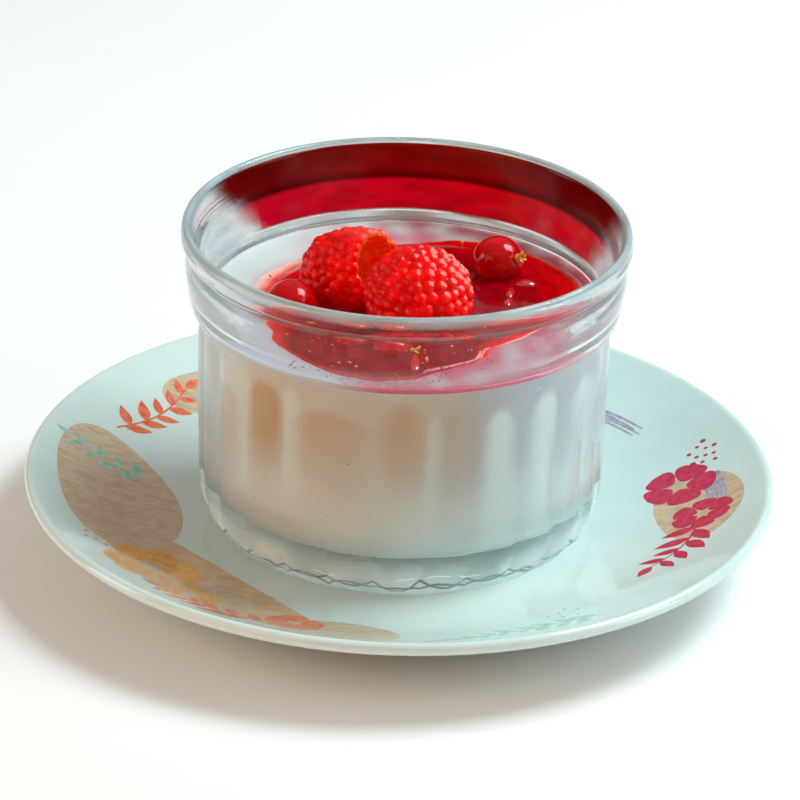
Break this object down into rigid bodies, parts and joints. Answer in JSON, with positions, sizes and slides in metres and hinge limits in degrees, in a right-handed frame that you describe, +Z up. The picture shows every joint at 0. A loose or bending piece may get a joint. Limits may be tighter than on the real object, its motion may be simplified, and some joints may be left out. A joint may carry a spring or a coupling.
{
  "type": "panna cotta with berries in a glass on a saucer",
  "caption": "Set cream dessert in a clear ribbed glass with a plain collar, on a shallow round saucer, topped with red berry coulis, hollow raspberries and glossy redcurrants.",
  "frame": {"origin": "centre of the saucer's foot ring, on the surface it stands on", "axes": "+Z up, -Y towards the side seen first, +X to its right"},
  "size_m": [0.15, 0.15, 0.0695],
  "materials": {
    "porcelain": "white glazed porcelain with a printed design under the glaze",
    "clear_glass": "clear pressed glass, smooth and glossy",
    "cream": "set cream, smooth, soft satin",
    "coulis": "wet glossy berry sauce, translucent where thin",
    "raspberry": "juicy drupelets with fine hairs and a soft sheen",
    "redcurrant": "tight glossy skin, dry brown flower remnant"
  },
  "bodies": {
    "root": {"saucer": "porcelain", "glass": "clear_glass", "panna_cotta": "cream", "berry_coulis": "coulis", "raspberry_upright": "raspberry", "raspberry_lying": "raspberry", "redcurrant_left": "redcurrant", "redcurrant_right": "redcurrant", "redcurrant_front": "redcurrant", "redcurrant_front_left": "redcurrant"}
  },
  "joints": []
}
